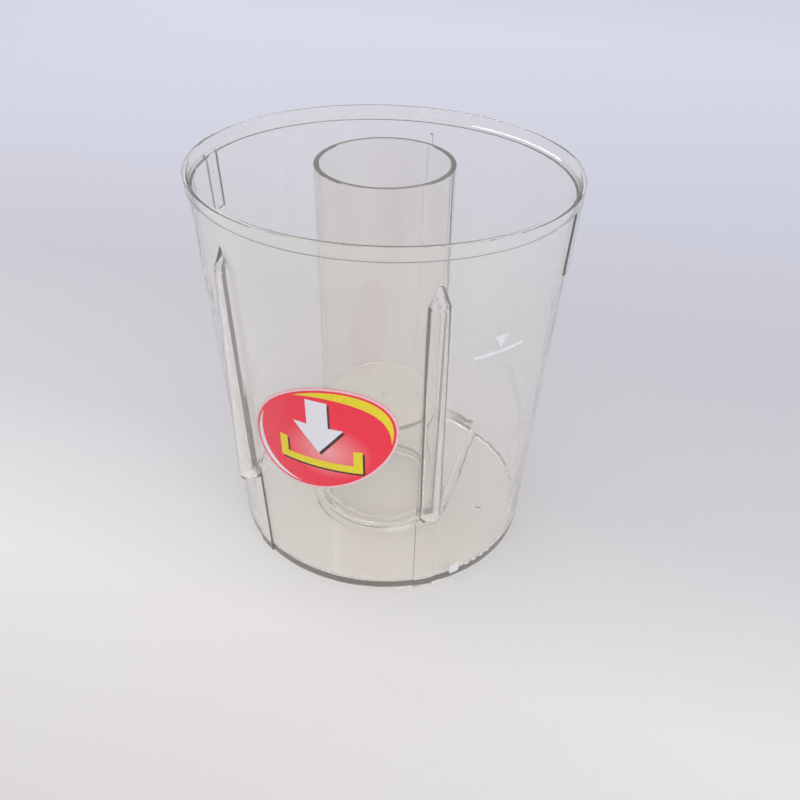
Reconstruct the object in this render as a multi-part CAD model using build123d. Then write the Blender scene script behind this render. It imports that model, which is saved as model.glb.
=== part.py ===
from build123d import *
import os
from math import cos, pi, radians, sin

# A clear plastic dirt container of a bagless upright vacuum cleaner, without its lid and filter.
# Millimetres, +Z up. The origin is at the middle of the base, and the front, with the label, faces -Y.

# ---- driving dimensions ----
HEIGHT = 210.0                      # base to rim
RIM_HALF_WIDTH = 95.8               # collar, outside, along X
RIM_HALF_DEPTH = 89.0               # collar, outside, along Y
BASE_HALF_WIDTH = 84.6              # foot of the wall, outside
BASE_HALF_DEPTH = 81.4
WALL = 2.2                          # thickness of the container wall
FLOOR = 2.5                         # thickness of the floor

COLLAR_HEIGHT = 6.2                 # thickened band around the rim
COLLAR_STEP = 1.3                   # how far the collar stands out from the wall
EDGE_CHAMFER = 0.4                  # on the rim and on the tube's top
LID_LEDGE_DEPTH = 7.5               # rim down to the ledge that the lid sits on
LEDGE_WIDTH = 1.6                   # width of that ledge
FLOOR_FILLET = 3.5                  # inside, where the wall meets the floor

TUBE_Y = 2.0                        # the centre tube stands a little behind the middle
TUBE_TOP_RADIUS = 34.25             # outside
TUBE_FOOT_RADIUS = 34.8             # outside
TUBE_WALL = 2.6
SPIGOT_LAND = 14.0                  # straight length of bore at the tube's top, for the filter's spigot
SOCKET_WIDTH = 3.0                  # ring on the floor that holds the tube's foot
SOCKET_TOP = 8.2
SOCKET_BOTTOM = 0.8
SOCKET_DRAFT = 0.4                  # the ring is this much narrower at its top
TUBE_FOOT_Z = 3.0                   # the tube's lower end, on the socket's flange
BOND_GAP = 0.05                     # cement line between bonded pieces
WEB_TOP = 73.4                      # closing disc inside the tube
WEB_THICKNESS = 2.4
WEB_GAP = 0.12                      # the disc is this much smaller than the tube's drafted bore
WEB_GATE = (1.8, 1.2, 0.6)          # moulding gate's bump: foot radius, top radius, height

PAD_TOP = 6.3                       # raised U-shaped pad around the tube
PAD_HALF_WIDTH = 42.0
PAD_DRAFT = 38.0                    # degrees
PAD_SKIN = 2.6
PAD_EDGE = 2.6                      # the pad's block is this much wider than the recess under it
COVE_TOP = 12.0                     # sloping cove where the pad meets the back wall
COVE_WIDTH = 5.0
COVE_HALF_LENGTH = 40.5
FLOOR_GATE_X = 62.0                 # small bump on the floor, at the right
FLOOR_GATE = (2.2, 1.3, 0.8)        # foot radius, top radius, height

RAIL_ANGLE = 34.3                   # guide rails, degrees each side of the front
RAIL_HALF_WIDTH = 5.4
RAIL_CREST_RADIUS = 92.8            # at the shoulder; the rail stands out more lower down
RAIL_LEAN = 0.7                     # degrees outward towards the foot
RAIL_EDGE_RADIUS = 1.8              # rounding of its lower end
RAIL_STEP_Z = 58.0                  # the tall part of the rail ends here
RAIL_SHOULDER_Z = 181.0
RAIL_APEX_Z = 192.5
RAIL_SKIN = 2.0
GROOVE_CLEARANCE = 120.0            # the groove is cut no nearer the middle than half of this
RAIL_TIP_RADIUS = 89.3              # the upper tip, just proud of the wall
RAIL_TIP_HALF_WIDTH = 0.8
LOW_RAIL_PROUD = 1.2                # shallow part below the step

LUG_Y = {-1: 0.5, 1: -5.5}          # short channels at the two sides, left and right
LUG_HALF_WIDTH = 5.4
LUG_PROUD = 1.3
LUG_FOOT_Z = 172.0
LUG_REACH = 20.0                    # each side of the rim, before the lug's block is trimmed
CHANNEL_HALF_WIDTH = 3.4
CHANNEL_DEPTH = 1.0                 # into the wall's inner face
CHANNEL_FOOT_Z = 174.0

BACK_RIB_WIDTH = 1.4
BACK_RIB_DEPTH = 2.6
BACK_RIB_TOP = 197.0

LABEL_THICKNESS = 0.25
LABEL_CENTRE = (-3.7, 103.6)        # along the wall from the front, and height
LABEL_HALF_LENGTH = 42.4
LABEL_HALF_HEIGHT = 29.6
LABEL_TILT = 29.7                   # degrees

INK = 0.15                          # printed marks
FILL_LINE_Z = 151.2
FILL_LINE_ANGLE = 35.3              # degrees below +X, middle of the line
FILL_LINE_LENGTH = 28.0
FILL_LINE_WIDTH = 1.9
POINTER_WIDTH = 8.0                 # triangle above the fill line
POINTER_HEIGHT = 6.5
POINTER_GAP = 2.2                   # from the middle of the line up to its tip
BASE_MARK_Z = 6.5
BASE_MARK_ANGLE = 47.5              # from the front towards +X
BASE_SQUARE = (6.0, 7.0)
BASE_SQUARE_CORNER = 1.2
BASE_DASH = (2.6, 1.1)
DASH_COUNT = 4
DASH_START, DASH_PITCH = 6.0, 3.6   # degrees from the square to the first dash, and between dashes
DASH_DROP = 1.0                     # the dashes sit this far below the square's middle

TALL = 400.0                        # longer than anything here, for cutting tools
OVERLAP = 0.5                       # how far joined or cutting bodies run into their neighbours
LABEL_POINTS = 24                   # points that the label's outline is drawn through
MARK_START, MARK_DEPTH = 60.0, 50.0 # prisms that cut printed marks out of the wall's skin


def semi_axes(z, inset=0.0):
    """Half width and half depth of the tapered wall's outer face at height z."""
    t = z / HEIGHT
    top_a, top_b = RIM_HALF_WIDTH - COLLAR_STEP, RIM_HALF_DEPTH - COLLAR_STEP
    half_width = BASE_HALF_WIDTH + (top_a - BASE_HALF_WIDTH) * t - inset
    half_depth = BASE_HALF_DEPTH + (top_b - BASE_HALF_DEPTH) * t - inset
    return half_width, half_depth


def tapered(z0, z1, inset=0.0):
    """Solid oval cone between two heights, inset from the wall's outer face."""
    sections = [Plane.XY.offset(z) * Ellipse(*semi_axes(z, inset)) for z in (z0, z1)]
    return loft(sections, ruled=True)


def cone(radius0, radius1, z0, z1):
    """Solid round cone on the tube's axis."""
    middle = (z0 + z1) / 2
    return Pos(0, TUBE_Y, middle) * Cone(radius0, radius1, z1 - z0)


def bore(radius, z0, z1):
    """Straight round cutter on the tube's axis."""
    return Pos(0, TUBE_Y, (z0 + z1) / 2) * Cylinder(radius, z1 - z0)


def gate_bump(sizes, z):
    """Small round bump that a moulding gate leaves, standing at height z."""
    foot, top, height = sizes
    return Pos(0, 0, z + (height - OVERLAP) / 2) * Cone(foot, top, height + OVERLAP)


def tube_radius(z):
    return TUBE_FOOT_RADIUS + (TUBE_TOP_RADIUS - TUBE_FOOT_RADIUS) * z / HEIGHT


def turned(angle):
    """Frame whose -Y points at the given angle, in degrees, towards +X from the front."""
    return Rot(0, 0, angle)


def rail_section(half_width, crest, z):
    """Round-nosed outline at height z that points to -Y."""
    nose_y = -(crest - half_width)
    plan = Pos(0, nose_y) * Circle(half_width) + Pos(0, nose_y / 2) * Rectangle(2 * half_width, -nose_y)
    return Pos(0, 0, z) * plan


def rail_column(half_width, crest, z0, shrink=0.0):
    """Upright round-nosed column whose upper end narrows to a tip on the wall."""
    foot = rail_section(half_width, crest, z0)
    shoulder = rail_section(half_width, crest, RAIL_SHOULDER_Z)
    tip = rail_section(RAIL_TIP_HALF_WIDTH, RAIL_TIP_RADIUS - shrink, RAIL_APEX_Z - shrink)
    return extrude(foot, RAIL_SHOULDER_Z - z0) + loft([shoulder, tip], ruled=True)


def rail(side):
    """Outer body of one front guide rail: a tall round-nosed part, and a shallow part down to the base."""
    tall = rail_column(RAIL_HALF_WIDTH, RAIL_CREST_RADIUS, RAIL_STEP_Z)
    foot_edges = tall.edges().group_by(Axis.Z)[0]
    rounded = [e for e in foot_edges if e.center().Y < -RAIL_CREST_RADIUS / 4]
    tall = leaning(fillet(rounded, RAIL_EDGE_RADIUS))
    low = extrude(rail_section(RAIL_HALF_WIDTH, RAIL_CREST_RADIUS, 0), RAIL_STEP_Z + OVERLAP)
    low = (turned(side * RAIL_ANGLE) * low) & tapered(0, HEIGHT, -LOW_RAIL_PROUD)
    return turned(side * RAIL_ANGLE) * tall + low


def leaning(column):
    """The column leant outward towards its foot, about the shoulder."""
    pivot = Pos(0, -RAIL_CREST_RADIUS, RAIL_SHOULDER_Z)
    return pivot * Rot(-RAIL_LEAN, 0, 0) * pivot.inverse() * column


def rail_hollow(side):
    """Groove behind the tall part of a rail, open to the inside."""
    half_width, crest = RAIL_HALF_WIDTH - RAIL_SKIN, RAIL_CREST_RADIUS - RAIL_SKIN
    groove = rail_column(half_width, crest, RAIL_STEP_Z + RAIL_SKIN, shrink=RAIL_SKIN)
    groove -= Pos(0, 0, HEIGHT / 2) * Box(TALL / 4, GROOVE_CLEARANCE, TALL)
    return turned(side * RAIL_ANGLE) * leaning(groove)


def lug_block(side, half_width, z0, z1, proud):
    """Upright block across the wall at one side, trimmed to stand out by the same amount all along."""
    block = Box(2 * LUG_REACH, 2 * half_width, z1 - z0)
    return Pos(side * RIM_HALF_WIDTH, LUG_Y[side], (z0 + z1) / 2) * block & tapered(0, HEIGHT, -proud)


def pad(half_width, z0, z1):
    """U-shaped block around the tube, open to the back, with sloping sides."""
    plan = Pos(0, TUBE_Y) * Circle(half_width)
    length = RIM_HALF_DEPTH + half_width
    plan += Pos(0, TUBE_Y + length / 2) * Rectangle(2 * half_width, length)
    return Pos(0, 0, z0) * extrude(plan, z1 - z0, taper=PAD_DRAFT)


def cove():
    """Sloping band across the back wall, from the pad's top up to a crease."""
    foot = PAD_TOP - OVERLAP
    band = tapered(foot, COVE_TOP, WALL / 2)
    slope = [Plane.XY.offset(foot) * Ellipse(*semi_axes(foot, WALL + COVE_WIDTH)),
             Plane.XY.offset(COVE_TOP) * Ellipse(*semi_axes(COVE_TOP, WALL))]
    band -= loft(slope, ruled=True)
    return band & (Pos(0, TALL / 4, 0) * Box(2 * COVE_HALF_LENGTH, TALL / 2, TALL))


def container_shell():
    """The moulded cup: wall, collar, floor, pad, socket ring, guide rails, side channels and back rib."""
    outside = tapered(0, HEIGHT)
    for side in (-1, 1):
        outside += rail(side)
        outside += lug_block(side, LUG_HALF_WIDTH, LUG_FOOT_Z, HEIGHT - COLLAR_HEIGHT, LUG_PROUD)
    collar = tapered(HEIGHT - COLLAR_HEIGHT, HEIGHT, -COLLAR_STEP)
    outside += chamfer(collar.edges(), EDGE_CHAMFER)

    inside = tapered(FLOOR, HEIGHT + OVERLAP, WALL)
    inside = fillet(inside.edges().group_by(Axis.Z)[0], FLOOR_FILLET)
    shell = outside - inside - tapered(HEIGHT - LID_LEDGE_DEPTH, HEIGHT + OVERLAP, WALL - LEDGE_WIDTH)
    for side in (-1, 1):
        shell -= rail_hollow(side)
        top = HEIGHT - LID_LEDGE_DEPTH
        shell -= lug_block(side, CHANNEL_HALF_WIDTH, CHANNEL_FOOT_Z, top, CHANNEL_DEPTH - WALL)

    room = tapered(0, HEIGHT, WALL / 2)
    shell += pad(PAD_HALF_WIDTH + PAD_EDGE, FLOOR - OVERLAP, PAD_TOP) & room
    shell += cove()
    shell -= pad(PAD_HALF_WIDTH, -OVERLAP, PAD_TOP - PAD_SKIN) & tapered(-OVERLAP, HEIGHT, WALL)
    ring_radius = TUBE_FOOT_RADIUS + SOCKET_WIDTH
    shell += cone(ring_radius, ring_radius - SOCKET_DRAFT, SOCKET_BOTTOM, SOCKET_TOP)
    shell -= bore(TUBE_FOOT_RADIUS + BOND_GAP, TUBE_FOOT_Z, HEIGHT)
    shell -= bore(TUBE_FOOT_RADIUS - TUBE_WALL, -OVERLAP, HEIGHT)
    shell += Pos(FLOOR_GATE_X, 0) * gate_bump(FLOOR_GATE, FLOOR)

    rib_half_depth = semi_axes(BACK_RIB_TOP)[1]
    rib = Box(BACK_RIB_WIDTH, rib_half_depth, BACK_RIB_TOP - FLOOR)
    rib = Pos(0, rib_half_depth, (FLOOR + BACK_RIB_TOP) / 2) * rib
    rib = (rib - tapered(0, HEIGHT, WALL + BACK_RIB_DEPTH)) & room
    return shell + rib


def center_tube():
    """Open tube that stands in the socket and rises to the level of the rim."""
    outer = cone(tube_radius(TUBE_FOOT_Z), TUBE_TOP_RADIUS, TUBE_FOOT_Z, HEIGHT)
    land_z = HEIGHT - SPIGOT_LAND
    bore_radius = TUBE_TOP_RADIUS - TUBE_WALL
    tube = outer - cone(tube_radius(0) - TUBE_WALL, bore_radius, 0, land_z)
    tube -= bore(bore_radius, land_z, HEIGHT)
    return chamfer(tube.edges().group_by(Axis.Z)[-1], EDGE_CHAMFER)


def tube_web():
    """Disc that closes the tube, with the small bump of its moulding gate."""
    radius = tube_radius(WEB_TOP) - TUBE_WALL - WEB_GAP
    disc = bore(radius, WEB_TOP - WEB_THICKNESS, WEB_TOP)
    return disc + Pos(0, TUBE_Y) * gate_bump(WEB_GATE, WEB_TOP)


def on_wall(thickness, prism):
    """The part of a thin layer on the wall's outer face that a prism covers."""
    return (tapered(0, HEIGHT, -thickness) - tapered(0, HEIGHT)) & prism


def label_film():
    """Oval stick-on label on the front of the wall."""
    bend = sum(semi_axes(LABEL_CENTRE[1])) / 2
    tilt = radians(LABEL_TILT)
    points = []
    for step in range(LABEL_POINTS):
        t = 2 * pi * step / LABEL_POINTS
        along, across = LABEL_HALF_LENGTH * cos(t), LABEL_HALF_HEIGHT * sin(t)
        s = LABEL_CENTRE[0] + along * cos(tilt) - across * sin(tilt)
        z = LABEL_CENTRE[1] + along * sin(tilt) + across * cos(tilt)
        points.append((bend * sin(s / bend), z))
    outline = make_face(Spline(*points, periodic=True))
    prism = extrude(Plane.XZ.offset(MARK_START) * outline, MARK_DEPTH)
    return on_wall(LABEL_THICKNESS, prism)


def mark_prism(angle, z, face):
    """A flat outline, drawn with +Y up, pushed through the wall at an angle from the front and a height."""
    prism = extrude(Plane.XZ.offset(MARK_START) * face, MARK_DEPTH)
    return turned(angle) * Pos(0, 0, z) * prism


def fill_line_print():
    """Printed fill line with a small triangle that points down to it."""
    angle = 90 - FILL_LINE_ANGLE
    marks = mark_prism(angle, FILL_LINE_Z, Rectangle(FILL_LINE_LENGTH, FILL_LINE_WIDTH))
    half, high = POINTER_WIDTH / 2, POINTER_HEIGHT
    pointer = make_face(Polyline((0, 0), (half, high), (-half, high), close=True))
    marks += mark_prism(angle, FILL_LINE_Z + POINTER_GAP, pointer)
    return on_wall(INK, marks)


def base_mark_print():
    """Small printed square and four dashes near the base."""
    marks = mark_prism(BASE_MARK_ANGLE, BASE_MARK_Z, RectangleRounded(*BASE_SQUARE, BASE_SQUARE_CORNER))
    for number in range(DASH_COUNT):
        angle = BASE_MARK_ANGLE + DASH_START + DASH_PITCH * number
        marks += mark_prism(angle, BASE_MARK_Z - DASH_DROP, Rectangle(*BASE_DASH))
    return on_wall(INK, marks)


PARTS = {
    "container_shell": container_shell,
    "center_tube": center_tube,
    "tube_web": tube_web,
    "label_film": label_film,
    "fill_line_print": fill_line_print,
    "base_mark_print": base_mark_print,
}

os.makedirs("parts", exist_ok=True)
for name, build in PARTS.items():
    part = build()
    export_step(part, f"parts/{name}.step")
    box = part.bounding_box()
    print(name, len(part.solids()), "solids", round(part.volume), "mm3", box.min, box.max)
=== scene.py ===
"""Looks of the clear plastic dirt container of an upright vacuum cleaner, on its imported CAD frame."""

from math import cos, pi, radians, sin, sqrt

import bmesh
import bpy
from mathutils import Matrix, Vector


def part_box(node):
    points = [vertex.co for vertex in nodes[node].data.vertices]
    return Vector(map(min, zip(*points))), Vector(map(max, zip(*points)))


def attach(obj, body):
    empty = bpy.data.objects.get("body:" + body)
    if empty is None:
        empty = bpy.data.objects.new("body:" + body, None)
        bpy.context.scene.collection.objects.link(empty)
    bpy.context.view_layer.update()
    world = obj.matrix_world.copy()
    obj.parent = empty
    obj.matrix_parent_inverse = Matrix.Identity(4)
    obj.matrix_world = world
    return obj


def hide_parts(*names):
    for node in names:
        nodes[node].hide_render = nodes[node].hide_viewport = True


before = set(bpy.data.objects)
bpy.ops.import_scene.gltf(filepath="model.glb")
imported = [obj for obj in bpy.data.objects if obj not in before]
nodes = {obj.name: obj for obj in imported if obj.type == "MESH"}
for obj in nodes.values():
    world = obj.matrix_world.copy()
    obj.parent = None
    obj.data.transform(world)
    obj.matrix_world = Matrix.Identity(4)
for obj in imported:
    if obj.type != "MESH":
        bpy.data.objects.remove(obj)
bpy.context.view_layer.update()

MM = 0.001

# ---- the wall ----

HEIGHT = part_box("container_shell")[1].z
WALL_BASE = (84.6 * MM, 81.4 * MM)      # half width and half depth of the wall's outer face at the base
WALL_RIM = (94.5 * MM, 87.7 * MM)       # and at the rim, under the collar

# ---- the label ----

LABEL_LOW, LABEL_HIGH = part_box("label_film")
LABEL_Z = (LABEL_LOW.z + LABEL_HIGH.z) / 2
LABEL_ALONG = -3.7 * MM                 # the label's middle, along the wall from the front
LABEL_HALF_LENGTH = 42.4 * MM
LABEL_HALF_HEIGHT = 29.6 * MM
LABEL_TILT = radians(29.7)
LABEL_POINTS = 120
BORDER_WIDTH = 1.3 * MM
FILM_GAP = 0.02 * MM                    # adhesive
FILM_THICKNESS = 0.23 * MM
INK = 0.03 * MM                         # one printed layer
STEP = 2.4 * MM                         # longest edge of a mesh that follows the wall
SHARP_ANGLE = radians(40)

# The picture on the label; both outlines are in millimetres from the label's middle.
TRAY = [(-22, -3), (-22, -17), (22, -17), (22, -3), (17.5, -3), (17.5, -12.5), (-17.5, -12.5), (-17.5, -3)]
ARROW = [(-5.5, 24), (5.5, 24), (5.5, 9), (13, 9), (0, -7.5), (-13, 9), (-5.5, 9)]
SHADOW_SHIFT = (1.1, -1.2)              # millimetres
SWOOSH_INSET = 2.6 * MM
SWOOSH_POINTS = 40
YELLOW_SWOOSH = (-35, 88, 5.5 * MM)     # first and last degrees from the oval's long axis, and width
WHITE_SWOOSH = (128, 232, 3.6 * MM)
GLOW_OFFSET = (4.0 * MM, -6.0 * MM)     # the pale glow's middle, from the label's
GLOW_REACH = 27.0 * MM
GLOW_SQUASH = 1.3                       # it is this much wider than high
GLOW_END = 0.85                         # share of the reach where only red is left

# ---- colours and finishes ----

LABEL_RED = (0.95, 0.016, 0.055)
LABEL_DEEP_RED = (0.86, 0.012, 0.045)
LABEL_GLOW = (0.95, 0.42, 0.43)
LABEL_COAT = 0.3
LABEL_COAT_ROUGHNESS = 0.12
LABEL_ROUGHNESS = (0.25, 0.4)
LABEL_GRAIN_SHARE = (0.0, 0.18)

# Inks: colour, colour where it is thin, and gloss.
INKS = {
    "label_border_ink": ((0.90, 0.62, 0.66), (0.84, 0.52, 0.57), 0.3),
    "label_dark_ink": ((0.045, 0.02, 0.018), (0.08, 0.03, 0.03), 0.35),
    "label_white_ink": ((0.87, 0.86, 0.91), (0.80, 0.79, 0.84), 0.3),
    "label_yellow_ink": ((0.89, 0.76, 0.02), (0.82, 0.66, 0.02), 0.3),
    "wall_white_ink": ((0.88, 0.88, 0.92), (0.74, 0.74, 0.79), 0.45),
}
INK_GLOSS_SPREAD = 0.15
INK_COVER = (0.35, 0.6)                 # noise from thin ink to full ink

PLASTIC_IOR = 1.49
CLARITY = 0.935                         # the rest is fine haze, which keeps the edges from going black
PLASTIC_ROUGHNESS = (0.0, 0.03)
LAMP_SHARE = (0.91, 0.905, 0.88, 1.0)   # of a lamp's light, through each face of a wall

# Plastics: two colours that alternate in patches, the colour of their depth, and its density per metre.
CUP_PLASTIC = ((0.980, 0.972, 0.962), (0.968, 0.957, 0.942), (0.93, 0.89, 0.78), 12.0)
TUBE_PLASTIC = ((0.945, 0.937, 0.925), (0.930, 0.918, 0.903), (0.93, 0.87, 0.76), 20.0)

# Noise textures: features per metre, layers of detail, and how much finer along each axis.
EVEN = (1.0, 1.0, 1.0)
PLASTIC_PATCHES = (9.0, 2.0, EVEN)
PLASTIC_HAZE = (40.0, 5.0, EVEN)
FLOW_WAVES = (26.0, 1.0, (1.0, 1.0, 0.35))
INK_PATCHES = (900.0, 4.0, EVEN)
INK_SPECKLE = (2500.0, 3.0, EVEN)
LABEL_GRAIN = (5000.0, 2.0, EVEN)
LABEL_SHEEN = (300.0, 3.0, EVEN)
LABEL_RIPPLE = (60.0, 1.0, EVEN)
NOISE_LOW, NOISE_HIGH = 0.3, 0.7        # where noise mostly lies

# Bumps: height and strength.
FLOW_BUMP = (0.3 * MM, 0.06)
INK_BUMP = (0.01 * MM, 0.3)
LABEL_BUMP = (0.1 * MM, 0.2)

# ---- surroundings ----

FLOOR_HALF = 4.0
FLOOR_GAP = 0.2 * MM                    # under the object
FLOOR_NEAR_Y, FLOOR_FAR_Y = -0.35, 1.2
FLOOR_ROUGHNESS = 0.9
FLOOR_SPECULAR = 0.1
FLOOR_SWEEP_PAINTED_LIGHT = [                                # colours of the floor's sweep, from near to far, with a painted pool of light just in front of the object's base and painted shade under and behind it
    (0.00, (0.64, 0.61, 0.63)),
    (0.15, (0.82, 0.81, 0.80)),
    (0.24, (0.66, 0.65, 0.69)),
    (0.36, (0.60, 0.60, 0.65)),
    (0.52, (0.65, 0.66, 0.75)),
    (1.00, (0.82, 0.83, 0.94)),
]
SKY = [                                 # colours of the studio, from the horizon up
    (0.0, (0.74, 0.73, 0.77)),
    (0.4, (0.84, 0.85, 0.91)),
    (1.0, (1.0, 0.99, 0.98)),
]
SKY_STRENGTH = 0.78

# Soft boxes: place, what they face, size, watts and colour.
LAMPS = {
    "key": ((-1.0, 0.25, 1.3), (0.0, 0.0, 0.1), 1.0, 5.2, (1.0, 0.98, 0.95)),
    "fill": ((1.3, -1.4, 1.5), (0.0, 0.0, 0.05), 1.6, 16.0, (1.0, 0.99, 0.97)),
}
LIGHT_BOUNCES = 32                      # light crosses up to eight clear walls, two faces each

CAMERA_PLACE = (0.1198, -0.3520, 0.3502)
CAMERA_YAW = radians(17.25)
CAMERA_PITCH = radians(37.16)           # below the horizon
CAMERA_ROLL = radians(1.17)
LENS = 36.0                             # millimetres
SENSOR = 36.0                           # millimetres


# ---- shader helpers ----

def new_material(name):
    """A material with nodes, and its tree and Principled shader."""
    material = bpy.data.materials.new(name)
    material.use_nodes = True
    tree = material.node_tree
    shader = next(n for n in tree.nodes if n.type == "BSDF_PRINCIPLED")
    return material, tree, shader


def noise(tree, texture_sizes):
    """Noise in object space."""
    scale, detail, stretch = texture_sizes
    place = tree.nodes.new("ShaderNodeTexCoord")
    mapping = tree.nodes.new("ShaderNodeMapping")
    mapping.inputs["Scale"].default_value = stretch
    texture = tree.nodes.new("ShaderNodeTexNoise")
    texture.inputs["Scale"].default_value = scale
    texture.inputs["Detail"].default_value = detail
    tree.links.new(place.outputs["Object"], mapping.inputs["Vector"])
    tree.links.new(mapping.outputs["Vector"], texture.inputs["Vector"])
    return texture.outputs["Fac"]


def ramp(tree, factor, stops):
    """Colour ramp; stops are (position, colour)."""
    node = tree.nodes.new("ShaderNodeValToRGB")
    elements = node.color_ramp.elements
    while len(elements) < len(stops):
        elements.new(0.5)
    for element, (position, colour) in zip(elements, stops):
        element.position = position
        element.color = (*colour, 1.0)
    tree.links.new(factor, node.inputs["Fac"])
    return node.outputs["Color"]


def remap(tree, factor, low, high):
    """Noise spread over low..high."""
    node = tree.nodes.new("ShaderNodeMapRange")
    node.inputs["From Min"].default_value = NOISE_LOW
    node.inputs["From Max"].default_value = NOISE_HIGH
    node.inputs["To Min"].default_value = low
    node.inputs["To Max"].default_value = high
    tree.links.new(factor, node.inputs["Value"])
    return node.outputs["Result"]


def bump(tree, shader, factor, sizes):
    """Fine relief on the shader's surface."""
    distance, strength = sizes
    node = tree.nodes.new("ShaderNodeBump")
    node.inputs["Distance"].default_value = distance
    node.inputs["Strength"].default_value = strength
    tree.links.new(factor, node.inputs["Height"])
    tree.links.new(node.outputs["Normal"], shader.inputs["Normal"])


# ---- materials ----

def clear_plastic(name, pale, tinted, depth_colour, density):
    """Polished moulded plastic: flow waves, patches of haze, and a tint that deepens with thickness."""
    material, tree, shader = new_material(name)
    shader.inputs["Transmission Weight"].default_value = CLARITY
    shader.inputs["IOR"].default_value = PLASTIC_IOR
    patches = ramp(tree, noise(tree, PLASTIC_PATCHES), [(NOISE_LOW, pale), (NOISE_HIGH, tinted)])
    tree.links.new(patches, shader.inputs["Base Color"])
    haze = remap(tree, noise(tree, PLASTIC_HAZE), *PLASTIC_ROUGHNESS)
    tree.links.new(haze, shader.inputs["Roughness"])
    bump(tree, shader, noise(tree, FLOW_WAVES), FLOW_BUMP)
    volume = tree.nodes.new("ShaderNodeVolumeAbsorption")
    volume.inputs["Color"].default_value = (*depth_colour, 1.0)
    volume.inputs["Density"].default_value = density
    output = next(n for n in tree.nodes if n.type == "OUTPUT_MATERIAL")
    tree.links.new(volume.outputs["Volume"], output.inputs["Volume"])
    let_lamps_through(tree, shader, output)
    return material


def let_lamps_through(tree, shader, output):
    """Lamp light passes straight through, where real plastic would focus it, so there is little noise."""
    path = tree.nodes.new("ShaderNodeLightPath")
    straight = tree.nodes.new("ShaderNodeBsdfTransparent")
    straight.inputs["Color"].default_value = LAMP_SHARE
    mix = tree.nodes.new("ShaderNodeMixShader")
    tree.links.new(path.outputs["Is Shadow Ray"], mix.inputs["Fac"])
    tree.links.new(shader.outputs["BSDF"], mix.inputs[1])
    tree.links.new(straight.outputs["BSDF"], mix.inputs[2])
    tree.links.new(mix.outputs["Shader"], output.inputs["Surface"])


def print_ink(name):
    """Printed ink: a little uneven in colour, with fine speckle in its gloss."""
    colour, thin, gloss = INKS[name]
    material, tree, shader = new_material(name)
    thin_at, full_at = INK_COVER
    cover = ramp(tree, noise(tree, INK_PATCHES), [(thin_at, thin), (full_at, colour)])
    tree.links.new(cover, shader.inputs["Base Color"])
    speckle = noise(tree, INK_SPECKLE)
    tree.links.new(remap(tree, speckle, gloss, gloss + INK_GLOSS_SPREAD), shader.inputs["Roughness"])
    bump(tree, shader, speckle, INK_BUMP)
    return material


def glow_distance(tree):
    """Distance from the middle of the label's glow, as a share of its reach."""
    place = tree.nodes.new("ShaderNodeTexCoord")
    mapping = tree.nodes.new("ShaderNodeMapping")
    centre = wall_point(LABEL_ALONG + GLOW_OFFSET[0], LABEL_Z + GLOW_OFFSET[1], 0.0)
    scale = Vector((1.0, 0.0, GLOW_SQUASH)) / GLOW_REACH
    mapping.inputs["Scale"].default_value = scale
    mapping.inputs["Location"].default_value = -centre * scale
    distance = tree.nodes.new("ShaderNodeVectorMath")
    distance.operation = "LENGTH"
    tree.links.new(place.outputs["Object"], mapping.inputs["Vector"])
    tree.links.new(mapping.outputs["Vector"], distance.inputs[0])
    return distance.outputs["Value"]


def mixed_colour(tree, factor, colour, other):
    """A colour from the tree, mixed towards a fixed one."""
    mix = tree.nodes.new("ShaderNodeMix")
    mix.data_type = "RGBA"
    sockets = {s.identifier: s for s in (*mix.inputs, *mix.outputs)}
    sockets["B_Color"].default_value = (*other, 1.0)
    tree.links.new(factor, sockets["Factor_Float"])
    tree.links.new(colour, sockets["A_Color"])
    return sockets["Result_Color"]


def label_vinyl(name):
    """Glossy red film with a soft pale glow in its middle and a fine print grain."""
    material, tree, shader = new_material(name)
    shader.inputs["Coat Weight"].default_value = LABEL_COAT
    shader.inputs["Coat Roughness"].default_value = LABEL_COAT_ROUGHNESS
    field = ramp(tree, glow_distance(tree), [(0.0, LABEL_GLOW), (GLOW_END, LABEL_RED), (1.0, LABEL_RED)])
    grain = remap(tree, noise(tree, LABEL_GRAIN), *LABEL_GRAIN_SHARE)
    tree.links.new(mixed_colour(tree, grain, field, LABEL_DEEP_RED), shader.inputs["Base Color"])
    sheen = remap(tree, noise(tree, LABEL_SHEEN), *LABEL_ROUGHNESS)
    tree.links.new(sheen, shader.inputs["Roughness"])
    bump(tree, shader, noise(tree, LABEL_RIPPLE), LABEL_BUMP)
    return material


# ---- outlines on the wall ----

def wall_point(along, z, proud):
    """Point on the wall: distance along it from the front, height, and how far proud of its outer face."""
    share = z / HEIGHT
    half_width = WALL_BASE[0] + (WALL_RIM[0] - WALL_BASE[0]) * share + proud
    half_depth = WALL_BASE[1] + (WALL_RIM[1] - WALL_BASE[1]) * share + proud
    middle = LABEL_Z / HEIGHT
    bend = sum(low + (high - low) * middle for low, high in zip(WALL_BASE, WALL_RIM)) / 2
    x = bend * sin(along / bend)
    y = -half_depth * sqrt(1 - (x / half_width) ** 2)
    return Vector((x, y, z))


def label_point(angle, inset):
    """Point at an angle on the label's oval, a distance inside its edge, as (along the wall, height)."""
    u = (LABEL_HALF_LENGTH - inset) * cos(angle)
    v = (LABEL_HALF_HEIGHT - inset) * sin(angle)
    along = LABEL_ALONG + u * cos(LABEL_TILT) - v * sin(LABEL_TILT)
    height = LABEL_Z + u * sin(LABEL_TILT) + v * cos(LABEL_TILT)
    return along, height


def label_outline(inset):
    """Points all around the label's oval, a distance inside its edge."""
    return [label_point(2 * pi * i / LABEL_POINTS, inset) for i in range(LABEL_POINTS)]


def swoosh(start, end, width):
    """Outline of a band that follows the label's edge from one angle to another and tapers to both ends."""
    outer, inner = [], []
    for i in range(SWOOSH_POINTS + 1):
        share = i / SWOOSH_POINTS
        angle = radians(start + (end - start) * share)
        outer.append(label_point(angle, SWOOSH_INSET))
        inner.append(label_point(angle, SWOOSH_INSET + width * sin(pi * share)))
    return outer + inner[-2:0:-1]


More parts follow.
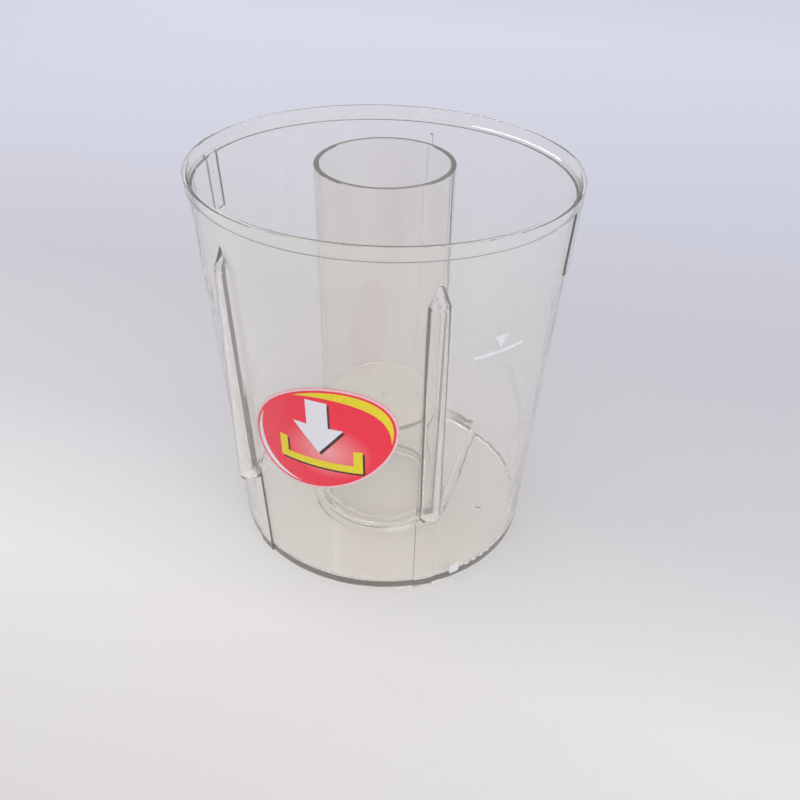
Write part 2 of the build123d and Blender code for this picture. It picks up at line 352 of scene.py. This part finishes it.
def on_label(points, shift=(0.0, 0.0)):
    """Points in millimetres from the label's middle, as (along the wall, height)."""
    return [(LABEL_ALONG + (x + shift[0]) * MM, LABEL_Z + (y + shift[1]) * MM) for x, y in points]


# ---- thin solids on the wall ----

def split_long_edges(bm):
    """Divides triangles until no edge is longer than the wall's bend allows."""
    while True:
        long = [e for e in bm.edges if e.calc_length() > STEP]
        if not long:
            return
        bmesh.ops.subdivide_edges(bm, edges=long, cuts=1)
        bmesh.ops.triangulate(bm, faces=bm.faces[:])


def fill_sheet(bm, outline, low):
    """A sheet of small triangles inside the outline."""
    bm.faces.new([bm.verts.new((*p, low)) for p in outline])
    bm.normal_update()
    bmesh.ops.triangulate(bm, faces=bm.faces[:])
    split_long_edges(bm)


def fill_band(bm, outline, hole, low):
    """A band of faces between two outlines with as many points."""
    outer = [bm.verts.new((*p, low)) for p in outline]
    inner = [bm.verts.new((*p, low)) for p in hole]
    count = len(outer)
    for i in range(count):
        j = (i + 1) % count
        bm.faces.new((outer[i], outer[j], inner[j], inner[i]))


def film(name, outline, low, high, material, hole=None):
    """A thin part of the label between two distances proud of the wall, with an optional hole."""
    bm = bmesh.new()
    if hole:
        fill_band(bm, outline, hole, low)
    else:
        fill_sheet(bm, outline, low)
    raised = bmesh.ops.extrude_face_region(bm, geom=bm.faces[:])
    for item in raised["geom"]:
        if isinstance(item, bmesh.types.BMVert):
            item.co.z = high
    for vert in bm.verts:
        vert.co = wall_point(*vert.co)
    bmesh.ops.recalc_face_normals(bm, faces=bm.faces[:])
    mesh = bpy.data.meshes.new(name)
    bm.to_mesh(mesh)
    bm.free()
    piece = bpy.data.objects.new(name, mesh)
    bpy.context.scene.collection.objects.link(piece)
    mesh.materials.append(material)
    mesh.shade_smooth()
    mesh.set_sharp_from_angle(angle=SHARP_ANGLE)
    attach(piece, "root")
    return piece


def build_label():
    """Red oval film with a pale border, two bands and a picture of an arrow pointing down into a tray."""
    red = label_vinyl("label_red")
    pink = print_ink("label_border_ink")
    dark = print_ink("label_dark_ink")
    white = print_ink("label_white_ink")
    yellow = print_ink("label_yellow_ink")
    top = FILM_GAP + FILM_THICKNESS
    base = film("label", label_outline(0.0), FILM_GAP, top, red)
    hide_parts("label_film")
    film("label_border", label_outline(0.0), top, top + INK, pink, hole=label_outline(BORDER_WIDTH))
    for name, outline in (("tray", TRAY), ("arrow", ARROW)):
        film(f"label_{name}_shadow", on_label(outline, SHADOW_SHIFT), top, top + INK, dark)
    film("label_yellow_swoosh", swoosh(*YELLOW_SWOOSH), top, top + INK, yellow)
    film("label_white_swoosh", swoosh(*WHITE_SWOOSH), top, top + INK, white)
    film("label_tray", on_label(TRAY), top + INK, top + 2 * INK, yellow)
    film("label_arrow", on_label(ARROW), top + INK, top + 2 * INK, white)


# ---- carried-over CAD pieces ----

def dress(node, material):
    """Gives a CAD node its finished material."""
    piece = nodes[node]
    piece.data.materials.clear()
    piece.data.materials.append(material)


def build_plastic():
    """The cup, its tube and the tube's closing disc."""
    cup = clear_plastic("cup_plastic", *CUP_PLASTIC)
    tube = clear_plastic("tube_plastic", *TUBE_PLASTIC)
    dress("container_shell", cup)
    dress("center_tube", tube)
    dress("tube_web", tube)


def build_prints():
    """White ink on the wall: the fill line and the marks near the base."""
    white = print_ink("wall_white_ink")
    dress("fill_line_print", white)
    dress("base_mark_print", white)


# ---- surroundings ----

def floor_card():
    """Matt card whose colour changes slowly from near to far, with a painted pool of light just in front of
    the object's base and painted shade under and behind it.
    """
    material, tree, shader = new_material("floor_card")
    shader.inputs["Roughness"].default_value = FLOOR_ROUGHNESS
    shader.inputs["Specular IOR Level"].default_value = FLOOR_SPECULAR
    place = tree.nodes.new("ShaderNodeTexCoord")
    split = tree.nodes.new("ShaderNodeSeparateXYZ")
    share = tree.nodes.new("ShaderNodeMapRange")
    share.inputs["From Min"].default_value = FLOOR_NEAR_Y
    share.inputs["From Max"].default_value = FLOOR_FAR_Y
    tree.links.new(place.outputs["Object"], split.inputs["Vector"])
    tree.links.new(split.outputs["Y"], share.inputs["Value"])
    tree.links.new(ramp(tree, share.outputs["Result"], FLOOR_SWEEP_PAINTED_LIGHT), shader.inputs["Base Color"])
    return material


def build_floor():
    """Pale sweep under the object."""
    mesh = bpy.data.meshes.new("floor")
    corners = [(x * FLOOR_HALF, y * FLOOR_HALF, 0) for x, y in ((-1, -1), (1, -1), (1, 1), (-1, 1))]
    mesh.from_pydata(corners, [], [(0, 1, 2, 3)])
    mesh.materials.append(floor_card())
    floor = bpy.data.objects.new("floor", mesh)
    floor.location.z = -FLOOR_GAP
    bpy.context.scene.collection.objects.link(floor)


def build_sky():
    """Even studio light from above that falls off towards the horizon."""
    world = bpy.data.worlds.new("studio")
    world.use_nodes = True
    tree = world.node_tree
    background = next(n for n in tree.nodes if n.type == "BACKGROUND")
    place = tree.nodes.new("ShaderNodeTexCoord")
    split = tree.nodes.new("ShaderNodeSeparateXYZ")
    tree.links.new(place.outputs["Generated"], split.inputs["Vector"])
    tree.links.new(ramp(tree, split.outputs["Z"], SKY), background.inputs["Color"])
    background.inputs["Strength"].default_value = SKY_STRENGTH
    bpy.context.scene.world = world


def soft_box(name, place, target, size, power, colour):
    """A large square area light."""
    data = bpy.data.lights.new(name, "AREA")
    data.size = size
    data.energy = power
    data.color = colour
    lamp = bpy.data.objects.new(name, data)
    lamp.location = place
    lamp.rotation_euler = (Vector(target) - Vector(place)).to_track_quat("-Z", "Y").to_euler()
    bpy.context.scene.collection.objects.link(lamp)


def build_camera():
    """Camera that looks down at the object from in front, a little to its right."""
    data = bpy.data.cameras.new("camera")
    data.lens = LENS
    data.sensor_width = SENSOR
    camera = bpy.data.objects.new("camera", data)
    turn = Matrix.Rotation(CAMERA_YAW, 4, "Z") @ Matrix.Rotation(pi / 2 - CAMERA_PITCH, 4, "X")
    camera.matrix_world = Matrix.Translation(CAMERA_PLACE) @ turn @ Matrix.Rotation(CAMERA_ROLL, 4, "Z")
    bpy.context.scene.collection.objects.link(camera)
    bpy.context.scene.camera = camera


build_label()
build_plastic()
build_prints()
build_floor()
build_sky()
for lamp_name, lamp_settings in LAMPS.items():
    soft_box(lamp_name, *lamp_settings)
build_camera()
bpy.context.scene.view_settings.view_transform = "Standard"
bpy.context.scene.cycles.max_bounces = LIGHT_BOUNCES
bpy.context.scene.cycles.transmission_bounces = LIGHT_BOUNCES
